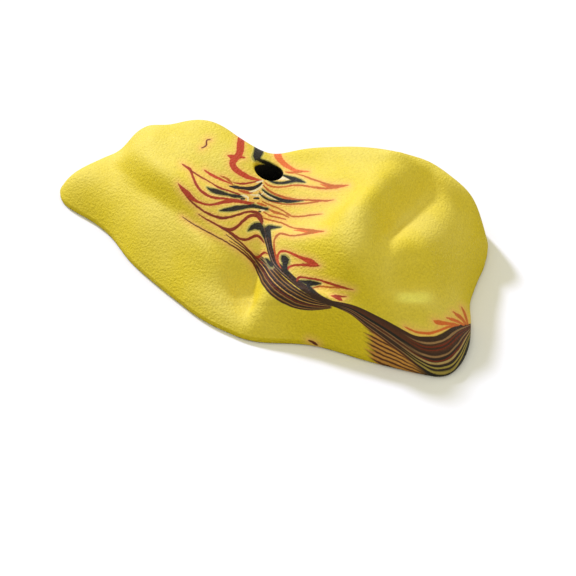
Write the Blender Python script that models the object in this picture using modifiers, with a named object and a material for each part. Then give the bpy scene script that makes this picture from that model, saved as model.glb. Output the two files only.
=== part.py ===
"""A large cast climbing hold, modelled in Blender as it would come apart on a bench.

The hold is one hollow-backed polyurethane casting with three steel washers held in its holes.
It lies on its back, so +Z points away from the wall that it is bolted to. Every size below is in
millimetres. The design is drawn from the bolt axis, which is at x = 0, y = 0, and the finished
pieces are moved so that the middle of the back lies on the world origin.
"""

import math
from typing import NamedTuple

import bmesh
import bpy
import numpy as np

MM = 0.001

# Main sizes of the finished hold; the drawing below is stretched to them
LENGTH = 335.0
WIDTH = 198.0
HEIGHT = 77.0

# Outline of the back, counter-clockwise from the left tip, as points of a smooth closed curve
OUTLINE = (
    (-150, -44), (-139, -61.5), (-106, -67), (-86, -73), (-60, -86), (-36, -94), (-10, -101),
    (16, -107), (38, -108), (60, -105), (94, -87), (134, -79), (168, -70), (181, -63),
    (184, -49), (180, -30), (171, -12), (160.5, 6), (154, 27), (148.5, 49), (139, 69), (120, 84),
    (96, 90), (68, 86), (8, 70), (-28, 64), (-62, 56), (-96, 38), (-122, 16), (-140, -10),
)
OUTLINE_SAMPLES = 360
CURVE_STEPS = 40
SPOKE_SAMPLES = 80

# The plain cushion that all the forms are added to
EDGE_HEIGHT = 4.0
CROWN_HEIGHT = 24.0
LEAST_CROWN = 8.0
LEAST_SOFTNESS = 2.0
EDGE_RUN = 52.0
EDGE_ROUNDNESS = 3.8
LEAST_SQUARE = 0.25


class Form(NamedTuple):
    """One raised or sunk form of the skin.

    It is centred at x, y and its long axis is turned by `turn` degrees. It fades out over
    `along` on that axis, over `left` and `right` across it, and is `rise` high in the middle.
    A shoulder of 2 is a soft bell, more is flat-topped with steeper sides, less is a crease.
    """
    name: str
    x: float
    y: float
    turn: float
    along: float
    left: float
    right: float
    rise: float
    shoulder_across: float = 2.0
    shoulder_along: float = 2.0


FORMS = (
    Form("left_knob", -44, 15, 20, 52, 16, 58, 33, 4.0, 3.2),
    Form("knob_shoulder", -111, -9, 29, 14, 8, 13, -6, 2.3, 3.3),
    Form("knob_crease", -44, -62, -14, 35, 5, 17, -8, 3.0, 3.0),
    Form("knob_line", -78, -48, -21, 26, 4, 9.5, -10, 1.7),
    Form("tip_ridge", -114, 4, 38, 11, 20, 28, 17, 1.4, 2.4),
    Form("wing", -14, -59, -1, 42, 17, 20, 17, 3.2),
    Form("wing_line", 15, -75, -22, 34, 7, 4, -5, 1.9, 2.6),
    Form("waist_saddle", -24, 58, 73, 33, 27, 20, -44, 1.8, 4.0),
    Form("dome", 85, 44, 23, 55, 18, 32, 36, 3.0, 4.0),
    Form("dome_front", 111, -12, 15, 30, 27, 32, 44, 2.4, 3.0),
    Form("far_dome", 119, 99, 27, 106, 12.5, 12, 34, 2.4, 3.0),
    Form("back_corner", 132, 74, -43, 18, 10, 9, 18, 2.2, 1.7),
    Form("back_notch", 146, 58, 7, 24, 8, 8, -9, 1.8, 2.2),
    Form("finger_valley", 114, 9, 93, 45, 19, 44, -23, 3.2, 4.8),
    Form("valley_line", 106, 5, 98, 42, 5, 13.5, -7, 1.8, 4.0),
    Form("nose", 128, -15, 110, 40, 13.5, 16, 7, 3.8, 1.4),
    Form("right_shoulder", 164, 23, 74, 25, 22, 10, 20, 2.8, 2.4),
    Form("long_ridge", 88, -43, -13, 38, 28, 14, 24, 3.0, 2.8),
    Form("thumb_scoop", 41, -83, -70, 15, 6, 12, -24, 1.3, 1.6),
    Form("scoop_lip", 51, -83, -60, 12, 9, 6.5, 8, 2.3, 3.0),
    Form("front_bulge", 99, -77, 2, 24, 5, 9, 22, 2.5, 2.4),
    Form("low_bulge", 108, -65, -16, 18, 6, 6.5, 9, 2.2),
    Form("edge_notch", 138, -41, 58, 12.5, 13, 17, -18, 1.3, 2.4),
    Form("ledge", 149, -44, 37, 12.5, 7.5, 6.5, 7, 2.2, 2.3),
)

# The hollow back
RIM_WIDTH = 14.0
WALL = 9.0
STEEPEST_WALL = 2.0
ROOF_SMOOTHING = 6.0
LEAST_HOLLOW = 2.5
RIB_COUNT = 6
FIRST_RIB_ANGLE = 20.0
RIB_THICKNESS = 6.0
RIB_RECESS = 1.5
RIB_BITE = 5.0
RIB_STATIONS = 14
RIM_SEARCH_STEPS = 24

# Mesh density of the casting
COLUMNS = 96
SKIN_RINGS = 28
ROOF_RINGS = 13
SKIN_SPACING = 1.2
LIP_ANGLES = (45.0, 90.0)
SHARP_ANGLE = 40.0
MERGE_DISTANCE = 0.00001

FIT_GAP = 0.3
MOUTH_ROUNDING = 1.6


class Bore(NamedTuple):
    """A stepped hole through the casting with a steel washer caught in a groove."""
    name: str
    x: float
    y: float
    hole_diameter: float
    counterbore_diameter: float
    washer_diameter: float
    washer_thickness: float
    seat_height: float
    boss_diameter: float
    sides: int


BOLT = Bore("bolt_washer", 0.0, 0.0, 11.0, 20.0, 25.4, 2.5, 18.0, 44.0, 64)
SET_SCREWS = (
    Bore("set_screw_washer_left", -76.0, 18.0, 5.0, 9.0, 12.0, 1.2, 10.0, 20.0, 32),
    Bore("set_screw_washer_right", 70.0, 56.0, 5.0, 9.0, 12.0, 1.2, 10.0, 20.0, 32),
)
CUTTER_REACH = 20.0


def clear_scene():
    """Remove whatever the new file came with."""
    for item in list(bpy.data.objects):
        bpy.data.objects.remove(item, do_unlink=True)


def closed_curve(points, count):
    """Sample a smooth closed curve through the points, evenly along its length."""
    corners = np.array(points, float)
    before = np.roll(corners, 1, axis=0)
    after = np.roll(corners, -1, axis=0)
    beyond = np.roll(corners, -2, axis=0)
    steps = np.linspace(0.0, 1.0, CURVE_STEPS, endpoint=False)[:, None, None]
    fine = 0.5 * (
        2.0 * corners
        + (after - before) * steps
        + (2.0 * before - 5.0 * corners + 4.0 * after - beyond) * steps ** 2
        + (3.0 * corners - before - 3.0 * after + beyond) * steps ** 3
    )
    fine = fine.transpose(1, 0, 2).reshape(-1, 2)
    ring = np.vstack([fine, fine[:1]])
    lengths = np.hypot(*np.diff(ring, axis=0).T)
    travelled = np.concatenate([[0.0], np.cumsum(lengths)])
    wanted = np.linspace(0.0, travelled[-1], count, endpoint=False)
    x = np.interp(wanted, travelled, ring[:, 0])
    y = np.interp(wanted, travelled, ring[:, 1])
    return np.stack([x, y], axis=-1)


DRAWN_EDGE = closed_curve(OUTLINE, OUTLINE_SAMPLES)
STRETCH = np.array([LENGTH, WIDTH]) / np.ptp(DRAWN_EDGE, axis=0)
EDGE = DRAWN_EDGE * STRETCH
EDGE_NEXT = np.roll(EDGE, -1, axis=0)
MIDDLE = (EDGE.min(axis=0) + EDGE.max(axis=0)) / 2.0


def edge_distance(x, y):
    """Distance from each point to the outline, rounded off where two edges are equally near.

    A straight edge seen from distance d gives the sum 3 pi / 8 / d^5, which the sum over the
    samples of the outline is turned back into. Close to the edge the plain distance holds.
    """
    total = np.zeros(np.shape(x))
    nearest = np.full(np.shape(x), np.inf)
    for start, end in zip(EDGE, EDGE_NEXT):
        along = end - start
        length = math.hypot(*along)
        share = ((x - start[0]) * along[0] + (y - start[1]) * along[1]) / length ** 2
        share = np.clip(share, 0.0, 1.0)
        plain = (x - start[0] - share * along[0]) ** 2 + (y - start[1] - share * along[1]) ** 2
        nearest = np.minimum(nearest, plain)
        middle = (start + end) / 2.0
        square = (x - middle[0]) ** 2 + (y - middle[1]) ** 2
        total += length / np.maximum(square, LEAST_SQUARE) ** 3
    smooth = (3.0 * math.pi / 8.0 / total) ** 0.2
    return np.minimum(smooth, np.sqrt(nearest))


def form_rise(form, x, y):
    """Height that one form adds at each point of the drawing."""
    turn = math.radians(form.turn)
    u = (x - form.x) * math.cos(turn) + (y - form.y) * math.sin(turn)
    v = (y - form.y) * math.cos(turn) - (x - form.x) * math.sin(turn)
    width = np.where(v > 0.0, form.left, form.right)
    fade_along = np.exp(-0.5 * np.abs(u / form.along) ** form.shoulder_along)
    fade_across = np.exp(-0.5 * np.abs(v / width) ** form.shoulder_across)
    return form.rise * fade_along * fade_across


def drawn_rise(x, y):
    """Height of the skin above its edge, before it is stretched to HEIGHT."""
    crown = np.full(np.shape(x), CROWN_HEIGHT)
    for form in FORMS:
        crown = crown + form_rise(form, x / STRETCH[0], y / STRETCH[1])
    crown = LEAST_CROWN + LEAST_SOFTNESS * np.logaddexp(0.0, (crown - LEAST_CROWN) / LEAST_SOFTNESS)
    inward = np.clip(edge_distance(x, y) / EDGE_RUN, 0.0, 1.0)
    return crown * (1.0 - (1.0 - inward) ** EDGE_ROUNDNESS)


SPOKES = EDGE[:, None, :] * np.linspace(0.0, 1.0, SPOKE_SAMPLES)[None, :, None]
RISE_STRETCH = (HEIGHT - EDGE_HEIGHT) / drawn_rise(SPOKES[..., 0], SPOKES[..., 1]).max()


def skin_height(x, y):
    """Height of the climbing skin above the wall."""
    return EDGE_HEIGHT + drawn_rise(x, y) * RISE_STRETCH


def roof_height(x, y):
    """Height of the hollow's roof, a wall's thickness under the skin, square to it."""
    step = ROOF_SMOOTHING
    slope_x = (skin_height(x + step, y) - skin_height(x - step, y)) / (2.0 * step)
    slope_y = (skin_height(x, y + step) - skin_height(x, y - step)) / (2.0 * step)
    steepness = np.sqrt(1.0 + slope_x ** 2 + slope_y ** 2)
    thickness = WALL * np.minimum(steepness, STEEPEST_WALL)
    return np.maximum(skin_height(x, y) - thickness, LEAST_HOLLOW)


def rim_radius(directions, reach):
    """Radius from the bolt axis, along each direction, where the rim is RIM_WIDTH wide."""
    low = np.full(len(reach), BOLT.boss_diameter / 2.0)
    high = np.array(reach, float)
    for _ in range(RIM_SEARCH_STEPS):
        middle = (low + high) / 2.0
        point = directions * middle[:, None]
        inside = edge_distance(point[:, 0], point[:, 1]) > RIM_WIDTH
        low = np.where(inside, middle, low)
        high = np.where(inside, high, middle)
    return low


def ring(flat_points, heights):
    """Join plan points and heights to one ring of 3-D points."""
    heights = np.broadcast_to(heights, (len(flat_points),))
    return np.column_stack([flat_points, heights])


def loft(name, rings, closed_through=False):
    """Make a closed mesh object through rings that all have as many points.

    With closed_through the last ring joins the first. Otherwise both ends are capped.
    """
    mesh = bmesh.new()
    rows = []
    for points in rings:
        rows.append([mesh.verts.new(point * MM) for point in points])
    count = len(rows[0])
    pairs = list(zip(rows, rows[1:]))
    if closed_through:
        pairs.append((rows[-1], rows[0]))
    for row, next_row in pairs:
        for i in range(count):
            j = (i + 1) % count
            mesh.faces.new((row[i], row[j], next_row[j], next_row[i]))
    if not closed_through:
        for end in (rows[0], rows[-1]):
            middle = mesh.verts.new(sum((vert.co for vert in end[1:]), start=end[0].co) / count)
            for i in range(count):
                mesh.faces.new((end[i], end[(i + 1) % count], middle))
    bmesh.ops.recalc_face_normals(mesh, faces=mesh.faces)
    data = bpy.data.meshes.new(name)
    mesh.to_mesh(data)
    mesh.free()
    return bpy.data.objects.new(name, data)


def bore_steps(bore):
    """Radius and height of each step of a bore, from its washer groove down to the back."""
    groove_top = bore.seat_height + bore.washer_thickness + FIT_GAP
    groove_floor = bore.seat_height - FIT_GAP
    groove_radius = bore.washer_diameter / 2.0 + FIT_GAP
    return (
        (bore.counterbore_diameter / 2.0, groove_top),
        (groove_radius, groove_top),
        (groove_radius, groove_floor),
        (bore.hole_diameter / 2.0, groove_floor),
    )


def circle(radius, directions):
    """Plan points at one radius round the bolt axis."""
    return directions * radius


def make_casting():
    """Loft the hollow casting: skin, bolt bore, boss, roof and rim as one ring of rings."""
    edge = closed_curve(OUTLINE, COLUMNS) * STRETCH
    reach = np.hypot(edge[:, 0], edge[:, 1])
    directions = edge / reach[:, None]
    mouth = BOLT.counterbore_diameter / 2.0
    lip = circle(mouth + MOUTH_ROUNDING, directions)
    rings = [ring(edge, 0.0), ring(edge, EDGE_HEIGHT)]
    for k in range(1, SKIN_RINGS + 1):
        share = (k / SKIN_RINGS) ** SKIN_SPACING
        plan = edge * (1.0 - share) + lip * share
        rings.append(ring(plan, skin_height(plan[:, 0], plan[:, 1])))
    for angle in LIP_ANGLES:
        turn = math.radians(angle)
        plan = circle(mouth + MOUTH_ROUNDING * (1.0 - math.sin(turn)), directions)
        drop = MOUTH_ROUNDING * (1.0 - math.cos(turn))
        rings.append(ring(plan, skin_height(plan[:, 0], plan[:, 1]) - drop))
    for radius, height in bore_steps(BOLT):
        rings.append(ring(circle(radius, directions), height))
    rings.append(ring(circle(BOLT.hole_diameter / 2.0, directions), 0.0))
    boss = circle(BOLT.boss_diameter / 2.0, directions)
    rings.append(ring(boss, 0.0))
    rim = directions * rim_radius(directions, reach)[:, None]
    for k in range(ROOF_RINGS + 1):
        share = k / ROOF_RINGS
        plan = boss * (1.0 - share) + rim * share
        rings.append(ring(plan, roof_height(plan[:, 0], plan[:, 1])))
    rings.append(ring(rim, 0.0))
    return loft("hold_body", rings, closed_through=True)


def outline_reach(direction):
    """Distance from the bolt axis to the outline in one direction, as a list of one."""
    reach = np.hypot(EDGE[:, 0], EDGE[:, 1])
    facing = (EDGE @ direction) / reach
    return reach[[np.argmax(facing)]]


def make_rib(angle):
    """Loft one radial rib from the boss to the rim, with its top inside the wall."""
    turn = math.radians(angle)
    direction = np.array([math.cos(turn), math.sin(turn)])
    sideways = np.array([-math.sin(turn), math.cos(turn)])
    outer = rim_radius(direction[None, :], outline_reach(direction))[0] + RIB_BITE
    inner = BOLT.boss_diameter / 2.0 - RIB_BITE
    stations = []
    for distance in np.linspace(inner, outer, RIB_STATIONS):
        left = direction * distance + sideways * RIB_THICKNESS / 2.0
        right = direction * distance - sideways * RIB_THICKNESS / 2.0
        tops = roof_height(np.array([left[0], right[0]]), np.array([left[1], right[1]]))
        tops = tops + WALL / 2.0
        stations.append(np.array([
            (left[0], left[1], RIB_RECESS),
            (right[0], right[1], RIB_RECESS),
            (right[0], right[1], tops[1]),
            (left[0], left[1], tops[0]),
        ]))
    return loft("rib", stations)


def make_post(bore):
    """Loft the round post that carries a set screw's hole down to the back."""
    turns = np.linspace(0.0, math.tau, bore.sides, endpoint=False)
    plan = np.column_stack([np.cos(turns), np.sin(turns)]) * bore.boss_diameter / 2.0
    plan = plan + np.array([bore.x, bore.y])
    tops = roof_height(plan[:, 0], plan[:, 1]) + WALL / 2.0
    return loft("post", [ring(plan, 0.0), ring(plan, tops)])


def turned(name, profile, sides):
    """Turn a profile of radius and height pairs, listed from the top down, about Z."""
    data = bpy.data.meshes.new(name)
    points = [(radius * MM, 0.0, height * MM) for radius, height in profile]
    data.from_pydata(points, [(i, i + 1) for i in range(len(points) - 1)], [])
    item = bpy.data.objects.new(name, data)
    screw = item.modifiers.new("turn", "SCREW")
    screw.axis = "Z"
    screw.steps = sides
    screw.render_steps = sides
    screw.use_merge_vertices = True
    screw.merge_threshold = MERGE_DISTANCE
    return item


def make_bore_cutter(bore):
    """Turn the cutter for a set screw's hole, open above the skin and below the back."""
    top = float(skin_height(np.array(bore.x), np.array(bore.y))) + CUTTER_REACH
    steps = list(bore_steps(bore))
    profile = [(0.0, top), (bore.counterbore_diameter / 2.0, top)]
    profile += steps
    profile += [(bore.hole_diameter / 2.0, -CUTTER_REACH), (0.0, -CUTTER_REACH)]
    cutter = turned("cut_" + bore.name, profile, bore.sides)
    cutter.location = (bore.x * MM, bore.y * MM, 0.0)
    return cutter


def make_washer(bore, sides):
    """Turn a flat washer as a ring-shaped profile that closes on itself."""
    low = bore.seat_height
    high = bore.seat_height + bore.washer_thickness
    outer = bore.washer_diameter / 2.0
    inner = bore.hole_diameter / 2.0
    item = turned(bore.name, [(inner, high), (outer, high), (outer, low), (inner, low)], sides)
    mesh = bmesh.new()
    mesh.from_mesh(item.data)
    mesh.verts.ensure_lookup_table()
    mesh.edges.new((mesh.verts[3], mesh.verts[0]))
    mesh.to_mesh(item.data)
    mesh.free()
    item.location = (bore.x * MM, bore.y * MM, 0.0)
    return item


def boolean(target, other, operation):
    """Add an exact Boolean of another object to the target and hide that object."""
    modifier = target.modifiers.new(other.name, "BOOLEAN")
    modifier.operation = operation
    modifier.solver = "EXACT"
    modifier.object = other
    other.display_type = "WIRE"
    other.hide_render = True


def make_material(name, colour, roughness, metallic):
    """Make a plain Principled material."""
    material = bpy.data.materials.new(name)
    material.use_nodes = True
    shader = material.node_tree.nodes["Principled BSDF"]
    shader.inputs["Base Color"].default_value = (*colour, 1.0)
    shader.inputs["Roughness"].default_value = roughness
    shader.inputs["Metallic"].default_value = metallic
    return material


def place(item, collection, datum):
    """Put an object in its collection, drawn from the bolt axis."""
    collection.objects.link(item)
    item.parent = datum


def build():
    """Build the hold and its washers."""
    clear_scene()
    pieces = bpy.data.collections.new("climbing_hold")
    helpers = bpy.data.collections.new("joined_and_cut_shapes")
    for collection in (pieces, helpers):
        bpy.context.scene.collection.children.link(collection)
    datum = bpy.data.objects.new("bolt_axis", None)
    datum.location = (-MIDDLE[0] * MM, -MIDDLE[1] * MM, 0.0)
    pieces.objects.link(datum)

    casting = make_casting()
    place(casting, pieces, datum)
    casting.data.materials.append(make_material("cast_polyurethane", (0.80, 0.68, 0.06), 0.75, 0.0))
    for index in range(RIB_COUNT):
        rib = make_rib(FIRST_RIB_ANGLE + index * 360.0 / RIB_COUNT)
        place(rib, helpers, datum)
        boolean(casting, rib, "UNION")
    for bore in SET_SCREWS:
        post = make_post(bore)
        place(post, helpers, datum)
        boolean(casting, post, "UNION")
    for bore in SET_SCREWS:
        cutter = make_bore_cutter(bore)
        place(cutter, helpers, datum)
        boolean(casting, cutter, "DIFFERENCE")
    casting.data.shade_smooth()
    casting.data.set_sharp_from_angle(angle=math.radians(SHARP_ANGLE))

    steel = make_material("zinc_plated_steel", (0.62, 0.62, 0.60), 0.35, 1.0)
    for bore in (BOLT, *SET_SCREWS):
        washer = make_washer(bore, bore.sides)
        place(washer, pieces, datum)
        washer.data.materials.append(steel)
        washer.data.shade_smooth()
    bpy.context.view_layer.update()


build()
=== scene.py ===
"""Looks of a marbled climbing hold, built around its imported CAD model.

The casting is lofted again from the same forms as in the CAD source, only much finer, and it
replaces the CAD casting. Its marbling is drawn as seen from the camera, in the units of a
576 by 576 picture, and is carried over to the surface as attributes that the material reads.
"""

import math
from typing import NamedTuple

import bmesh
import bpy
import numpy as np
from mathutils import Matrix, Vector, kdtree


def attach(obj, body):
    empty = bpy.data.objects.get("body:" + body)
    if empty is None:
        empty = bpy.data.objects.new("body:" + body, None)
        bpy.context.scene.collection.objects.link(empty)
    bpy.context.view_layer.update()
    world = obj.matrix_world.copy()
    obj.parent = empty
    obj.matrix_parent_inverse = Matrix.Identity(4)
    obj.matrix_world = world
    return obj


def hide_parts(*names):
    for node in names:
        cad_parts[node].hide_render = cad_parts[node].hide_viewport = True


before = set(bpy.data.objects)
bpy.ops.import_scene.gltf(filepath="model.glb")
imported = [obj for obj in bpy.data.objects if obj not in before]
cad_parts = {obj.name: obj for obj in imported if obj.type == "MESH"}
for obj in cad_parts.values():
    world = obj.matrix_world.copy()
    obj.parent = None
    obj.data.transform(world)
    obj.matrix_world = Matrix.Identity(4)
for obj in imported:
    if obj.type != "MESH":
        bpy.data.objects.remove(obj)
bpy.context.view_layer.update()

MM = 0.001

# Camera, in metres and degrees
AIM = Vector((0.0310, -0.0387, 0.0))
AZIMUTH = math.radians(33.72)
ELEVATION = math.radians(41.6)
CAMERA_DISTANCE = 1.2036
LENS = 109.3
SENSOR = 36.0
PICTURE = 576.0

CAMERA_RIGHT = Vector((math.cos(AZIMUTH), math.sin(AZIMUTH), 0.0))
CAMERA_BACK = Vector((
    math.sin(AZIMUTH) * math.cos(ELEVATION),
    -math.cos(AZIMUTH) * math.cos(ELEVATION),
    math.sin(ELEVATION),
))
CAMERA_UP = CAMERA_BACK.cross(CAMERA_RIGHT)
CAMERA_PLACE = AIM + CAMERA_BACK * CAMERA_DISTANCE
LEVEL_RIGHT = np.array((CAMERA_RIGHT.x, CAMERA_RIGHT.y))
LEVEL_AWAY = np.array((-CAMERA_RIGHT.y, CAMERA_RIGHT.x))

# Floor and lights, in metres and watts
FLOOR_REACH = 6.0
FLOOR_DROP = 0.0004
FLOOR_WHITE = (0.98, 0.975, 1.0, 1.0)
FLOOR_BOUNCE = (0.27, 0.265, 0.245, 1.0)
SKY_COLOUR = (1.02, 1.0, 0.8, 1.0)
SKY_STRENGTH = 0.7
KEY_WAY = Vector((-0.765, 0.265, 0.59))
KEY_TARGET = Vector((0.0, 0.0, 0.03))
KEY_DISTANCE = 8.0
KEY_SIZE = 0.9
KEY_POWER = 435.0
KEY_COLOUR = (0.97, 1.0, 1.35)

# The same shape as in the CAD source, in millimetres from the bolt axis
LENGTH = 335.0
WIDTH = 198.0
HEIGHT = 77.0

OUTLINE = (
    (-150, -44), (-139, -61.5), (-106, -67), (-86, -73), (-60, -86), (-36, -94), (-10, -101),
    (16, -107), (38, -108), (60, -105), (94, -87), (134, -79), (168, -70), (181, -63),
    (184, -49), (180, -30), (171, -12), (160.5, 6), (154, 27), (148.5, 49), (139, 69), (120, 84),
    (96, 90), (68, 86), (8, 70), (-28, 64), (-62, 56), (-96, 38), (-122, 16), (-140, -10),
)
OUTLINE_SAMPLES = 360
CURVE_STEPS = 40
SPOKE_SAMPLES = 80

EDGE_HEIGHT = 4.0
CROWN_HEIGHT = 24.0
LEAST_CROWN = 8.0
LEAST_SOFTNESS = 2.0
EDGE_RUN = 52.0
EDGE_ROUNDNESS = 3.8
LEAST_SQUARE = 0.25


class Form(NamedTuple):
    """One raised or sunk form of the skin, as in the CAD source."""
    name: str
    x: float
    y: float
    turn: float
    along: float
    left: float
    right: float
    rise: float
    shoulder_across: float = 2.0
    shoulder_along: float = 2.0


FORMS = (
    Form("left_knob", -44, 15, 20, 52, 16, 58, 33, 4.0, 3.2),
    Form("knob_shoulder", -111, -9, 29, 14, 8, 13, -6, 2.3, 3.3),
    Form("knob_crease", -44, -62, -14, 35, 5, 17, -8, 3.0, 3.0),
    Form("knob_line", -78, -48, -21, 26, 4, 9.5, -10, 1.7),
    Form("tip_ridge", -114, 4, 38, 11, 20, 28, 17, 1.4, 2.4),
    Form("wing", -14, -59, -1, 42, 17, 20, 17, 3.2),
    Form("wing_line", 15, -75, -22, 34, 7, 4, -5, 1.9, 2.6),
    Form("waist_saddle", -24, 58, 73, 33, 27, 20, -44, 1.8, 4.0),
    Form("dome", 85, 44, 23, 55, 18, 32, 36, 3.0, 4.0),
    Form("dome_front", 111, -12, 15, 30, 27, 32, 44, 2.4, 3.0),
    Form("far_dome", 119, 99, 27, 106, 12.5, 12, 34, 2.4, 3.0),
    Form("back_corner", 132, 74, -43, 18, 10, 9, 18, 2.2, 1.7),
    Form("back_notch", 146, 58, 7, 24, 8, 8, -9, 1.8, 2.2),
    Form("finger_valley", 114, 9, 93, 45, 19, 44, -23, 3.2, 4.8),
    Form("valley_line", 106, 5, 98, 42, 5, 13.5, -7, 1.8, 4.0),
    Form("nose", 128, -15, 110, 40, 13.5, 16, 7, 3.8, 1.4),
    Form("right_shoulder", 164, 23, 74, 25, 22, 10, 20, 2.8, 2.4),
    Form("long_ridge", 88, -43, -13, 38, 28, 14, 24, 3.0, 2.8),
    Form("thumb_scoop", 41, -83, -70, 15, 6, 12, -24, 1.3, 1.6),
    Form("scoop_lip", 51, -83, -60, 12, 9, 6.5, 8, 2.3, 3.0),
    Form("front_bulge", 99, -77, 2, 24, 5, 9, 22, 2.5, 2.4),
    Form("low_bulge", 108, -65, -16, 18, 6, 6.5, 9, 2.2),
    Form("edge_notch", 138, -41, 58, 12.5, 13, 17, -18, 1.3, 2.4),
    Form("ledge", 149, -44, 37, 12.5, 7.5, 6.5, 7, 2.2, 2.3),
)

RIM_WIDTH = 14.0
WALL = 9.0
STEEPEST_WALL = 2.0
ROOF_SMOOTHING = 6.0
LEAST_HOLLOW = 2.5
RIB_COUNT = 6
FIRST_RIB_ANGLE = 20.0
RIB_THICKNESS = 6.0
RIB_RECESS = 1.5
RIB_BITE = 5.0
RIB_STATIONS = 40
RIM_SEARCH_STEPS = 24
FIT_GAP = 0.3
MOUTH_ROUNDING = 1.6
LIP_ANGLES = (18.0, 36.0, 54.0, 72.0, 90.0)
WALL_DROPS = (0.7, 1.4, 2.2, 3.2, 4.4)
BASE_ROUNDING = 0.8
BASE_ANGLES = (0.0, 30.0, 60.0, 90.0)
CUTTER_REACH = 20.0

# Where the skin as shown differs from the CAD's
MOUTH_DIP = 3.4
MOUTH_DIP_REACH = 13.0
BROW_PLACE = (73.6, 50.6)
BROW_RISE = 3.0
BROW_DEPTH = 4.5
BROW_WIDTH = 8.0

# How deep the painted shade starts in the bolt's hole, and how much deeper on its far wall
BORE_SHADE_DEPTH = 0.55
BORE_SHADE_RUN = 0.6
FAR_WALL_BARE = 3.4
FAR_WALL_WAY = (-0.94, 0.33)

# Mesh density of the fine casting
COLUMNS = 440
SKIN_RINGS = 150
ROOF_RINGS = 22
SKIN_SPACING = 1.12
SHARP_ANGLE = math.radians(40.0)


class Bore(NamedTuple):
    """A stepped hole through the casting with a steel washer caught in a groove."""
    name: str
    x: float
    y: float
    hole_diameter: float
    counterbore_diameter: float
    washer_diameter: float
    washer_thickness: float
    seat_height: float
    boss_diameter: float
    sides: int


BOLT = Bore("bolt_washer", 0.0, 0.0, 11.0, 20.0, 25.4, 2.5, 18.0, 44.0, 64)
SET_SCREWS = (
    Bore("set_screw_washer_left", -76.0, 18.0, 5.0, 9.0, 12.0, 1.2, 10.0, 20.0, 32),
    Bore("set_screw_washer_right", 70.0, 56.0, 5.0, 9.0, 12.0, 1.2, 10.0, 20.0, 32),
)


def spline(before, here, after, beyond, shares):
    """Points of a smooth curve on its way from here to after, at each share of that way."""
    return 0.5 * (
        2.0 * here
        + (after - before) * shares
        + (2.0 * before - 5.0 * here + 4.0 * after - beyond) * shares ** 2
        + (3.0 * here - before - 3.0 * after + beyond) * shares ** 3
    )


def closed_curve(points, count):
    """Sample a smooth closed curve through the points, evenly along its length."""
    corners = np.array(points, float)
    shares = np.linspace(0.0, 1.0, CURVE_STEPS, endpoint=False)[:, None, None]
    turned = [np.roll(corners, shift, axis=0) for shift in (1, 0, -1, -2)]
    fine = spline(*turned, shares).transpose(1, 0, 2).reshape(-1, 2)
    whole = np.vstack([fine, fine[:1]])
    lengths = np.hypot(*np.diff(whole, axis=0).T)
    travelled = np.concatenate([[0.0], np.cumsum(lengths)])
    wanted = np.linspace(0.0, travelled[-1], count, endpoint=False)
    x = np.interp(wanted, travelled, whole[:, 0])
    y = np.interp(wanted, travelled, whole[:, 1])
    return np.stack([x, y], axis=-1)


DRAWN_EDGE = closed_curve(OUTLINE, OUTLINE_SAMPLES)
STRETCH = np.array([LENGTH, WIDTH]) / np.ptp(DRAWN_EDGE, axis=0)
EDGE = DRAWN_EDGE * STRETCH
EDGE_NEXT = np.roll(EDGE, -1, axis=0)
MIDDLE = (EDGE.min(axis=0) + EDGE.max(axis=0)) / 2.0


def edge_distance(x, y):
    """Distance from each point to the outline, rounded off where two edges are equally near.

    A straight edge seen from distance d gives the sum 3 pi / 8 / d^5, which the sum over the
    samples of the outline is turned back into. Close to the edge the plain distance holds.
    """
    total = np.zeros(np.shape(x))
    nearest = np.full(np.shape(x), np.inf)
    for start, end in zip(EDGE, EDGE_NEXT):
        along = end - start
        length = math.hypot(*along)
        share = ((x - start[0]) * along[0] + (y - start[1]) * along[1]) / length ** 2
        share = np.clip(share, 0.0, 1.0)
        plain = (x - start[0] - share * along[0]) ** 2 + (y - start[1] - share * along[1]) ** 2
        nearest = np.minimum(nearest, plain)
        middle = (start + end) / 2.0
        square = (x - middle[0]) ** 2 + (y - middle[1]) ** 2
        total += length / np.maximum(square, LEAST_SQUARE) ** 3
    smooth = (3.0 * math.pi / 8.0 / total) ** 0.2
    return np.minimum(smooth, np.sqrt(nearest))


def form_rise(form, x, y):
    """Height that one form adds at each point of the drawing."""
    turn = math.radians(form.turn)
    u = (x - form.x) * math.cos(turn) + (y - form.y) * math.sin(turn)
    v = (y - form.y) * math.cos(turn) - (x - form.x) * math.sin(turn)
    width = np.where(v > 0.0, form.left, form.right)
    fade_along = np.exp(-0.5 * np.abs(u / form.along) ** form.shoulder_along)
    fade_across = np.exp(-0.5 * np.abs(v / width) ** form.shoulder_across)
    return form.rise * fade_along * fade_across


def drawn_rise(x, y):
    """Height of the skin above its edge, before it is stretched to HEIGHT."""
    crown = np.full(np.shape(x), CROWN_HEIGHT)
    for form in FORMS:
        crown = crown + form_rise(form, x / STRETCH[0], y / STRETCH[1])
    crown = LEAST_CROWN + LEAST_SOFTNESS * np.logaddexp(0.0, (crown - LEAST_CROWN) / LEAST_SOFTNESS)
    inward = np.clip(edge_distance(x, y) / EDGE_RUN, 0.0, 1.0)
    return crown * (1.0 - (1.0 - inward) ** EDGE_ROUNDNESS)


SPOKES = EDGE[:, None, :] * np.linspace(0.0, 1.0, SPOKE_SAMPLES)[None, :, None]
RISE_STRETCH = (HEIGHT - EDGE_HEIGHT) / drawn_rise(SPOKES[..., 0], SPOKES[..., 1]).max()


def skin_height(x, y):
    """Height of the climbing skin above the wall."""
    return EDGE_HEIGHT + drawn_rise(x, y) * RISE_STRETCH


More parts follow.
